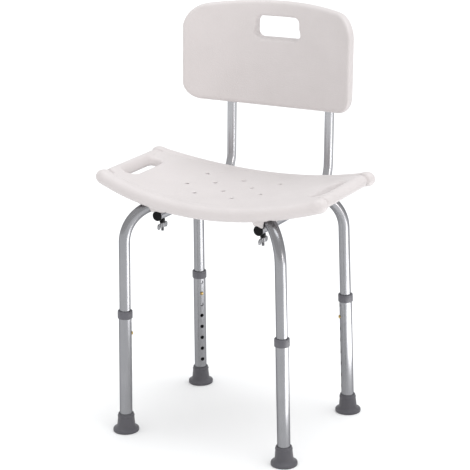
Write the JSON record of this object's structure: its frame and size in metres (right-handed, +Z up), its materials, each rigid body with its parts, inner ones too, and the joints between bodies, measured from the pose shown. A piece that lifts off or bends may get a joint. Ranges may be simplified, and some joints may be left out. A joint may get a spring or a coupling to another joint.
{
  "type": "shower chair",
  "caption": "Height-adjustable shower chair: dished plastic seat with end handle slots, curved backrest, crossed bent-tube frame and telescopic legs with rubber tips.",
  "frame": {"origin": "on the floor, under the middle of the chair's footprint (the legs' middle is 20 mm ahead of it)", "axes": "+Z up, -Y the way the sitter faces, +X to the sitter's left"},
  "size_m": [0.496, 0.3867, 0.8303],
  "materials": {
    "cream_plastic": "fine pebble grain",
    "aluminium_tube": "satin anodised",
    "grey_plastic": "satin",
    "grey_rubber": "matt",
    "black_plastic": "satin",
    "steel": "zinc plated",
    "brass": "satin"
  },
  "bodies": {
    "chair": {"seat_panel": "cream_plastic", "seat_inserts": "brass", "frame_tube_a": "aluminium_tube", "frame_tube_b": "aluminium_tube", "cross_bolt": "steel", "cross_nut": "steel", "frame_screws": "steel", "tube_spacers": "black_plastic", "front_stud_left": "steel", "front_stud_right": "steel", "rear_bolts": "steel", "back_tube_left": "aluminium_tube", "back_tube_right": "aluminium_tube", "front_plug_left": "black_plastic", "front_plug_right": "black_plastic", "top_plugs": "black_plastic", "back_panel": "cream_plastic", "back_panel_screws": "steel", "button_spring_front_left": "steel", "button_spring_front_right": "steel", "button_spring_rear_left": "steel", "button_spring_rear_right": "steel"},
    "leg_front_left": {"lower_leg_front_left": "aluminium_tube", "collar_front_left": "grey_plastic", "foot_front_left": "grey_rubber", "foot_washer_front_left": "steel"},
    "leg_front_right": {"lower_leg_front_right": "aluminium_tube", "collar_front_right": "grey_plastic", "foot_front_right": "grey_rubber", "foot_washer_front_right": "steel"},
    "leg_rear_left": {"lower_leg_rear_left": "aluminium_tube", "collar_rear_left": "grey_plastic", "foot_rear_left": "grey_rubber", "foot_washer_rear_left": "steel"},
    "leg_rear_right": {"lower_leg_rear_right": "aluminium_tube", "collar_rear_right": "grey_plastic", "foot_rear_right": "grey_rubber", "foot_washer_rear_right": "steel"},
    "button_front_left": {"snap_button_front_left": "brass"},
    "button_front_right": {"snap_button_front_right": "brass"},
    "button_rear_left": {"snap_button_rear_left": "brass"},
    "button_rear_right": {"snap_button_rear_right": "brass"},
    "washer_left": {"stud_washer_left": "black_plastic"},
    "washer_right": {"stud_washer_right": "black_plastic"},
    "wing_nut_left": {"wing_nut_left": "steel"},
    "wing_nut_right": {"wing_nut_right": "steel"}
  },
  "joints": [
    {"name": "leg_height_front_left", "type": "slide", "parent": "chair", "child": "leg_front_left", "axis": [0.0188, 0.0156, 0.9997], "range_m": [-0.025, 0.125]},
    {"name": "leg_height_front_right", "type": "slide", "parent": "chair", "child": "leg_front_right", "axis": [-0.0188, 0.0156, 0.9997], "range_m": [-0.025, 0.125]},
    {"name": "leg_height_rear_left", "type": "slide", "parent": "chair", "child": "leg_rear_left", "axis": [0.0188, -0.0156, 0.9997], "range_m": [-0.025, 0.125]},
    {"name": "leg_height_rear_right", "type": "slide", "parent": "chair", "child": "leg_rear_right", "axis": [-0.0188, -0.0156, 0.9997], "range_m": [-0.025, 0.125]},
    {"name": "button_press_front_left", "type": "slide", "parent": "chair", "child": "button_front_left", "axis": [-0.771, -0.6364, 0.0244], "range_m": [0, 0.0045], "stiffness_N_per_m": 1200, "springref_m": -0.001, "deforming": ["button_spring_front_left"]},
    {"name": "button_press_front_right", "type": "slide", "parent": "chair", "child": "button_front_right", "axis": [0.771, -0.6364, 0.0244], "range_m": [0, 0.0045], "stiffness_N_per_m": 1200, "springref_m": -0.001, "deforming": ["button_spring_front_right"]},
    {"name": "button_press_rear_left", "type": "slide", "parent": "chair", "child": "button_rear_left", "axis": [-0.771, 0.6364, 0.0244], "range_m": [0, 0.0045], "stiffness_N_per_m": 1200, "springref_m": -0.001, "deforming": ["button_spring_rear_left"]},
    {"name": "button_press_rear_right", "type": "slide", "parent": "chair", "child": "button_rear_right", "axis": [0.771, 0.6364, 0.0244], "range_m": [0, 0.0045], "stiffness_N_per_m": 1200, "springref_m": -0.001, "deforming": ["button_spring_rear_right"]},
    {"name": "washer_travel_left", "type": "slide", "parent": "chair", "child": "washer_left", "axis": [0, 0, -1], "range_m": [0, 0.003]},
    {"name": "nut_turn_left", "type": "hinge", "parent": "washer_left", "child": "wing_nut_left", "pos_m": [-0.1115, -0.11203, 0.4275], "axis": [0, 0, -1], "range_deg": [0, 1081]},
    {"name": "washer_travel_right", "type": "slide", "parent": "chair", "child": "washer_right", "axis": [0, 0, -1], "range_m": [0, 0.003]},
    {"name": "nut_turn_right", "type": "hinge", "parent": "washer_right", "child": "wing_nut_right", "pos_m": [0.1115, -0.11203, 0.4275], "axis": [0, 0, -1], "range_deg": [0, 1081]}
  ],
  "couplings": [
    {"joint": "nut_turn_left", "follows": "washer_travel_left", "rad_per_m": 6283.2},
    {"joint": "nut_turn_right", "follows": "washer_travel_right", "rad_per_m": 6283.2}
  ]
}
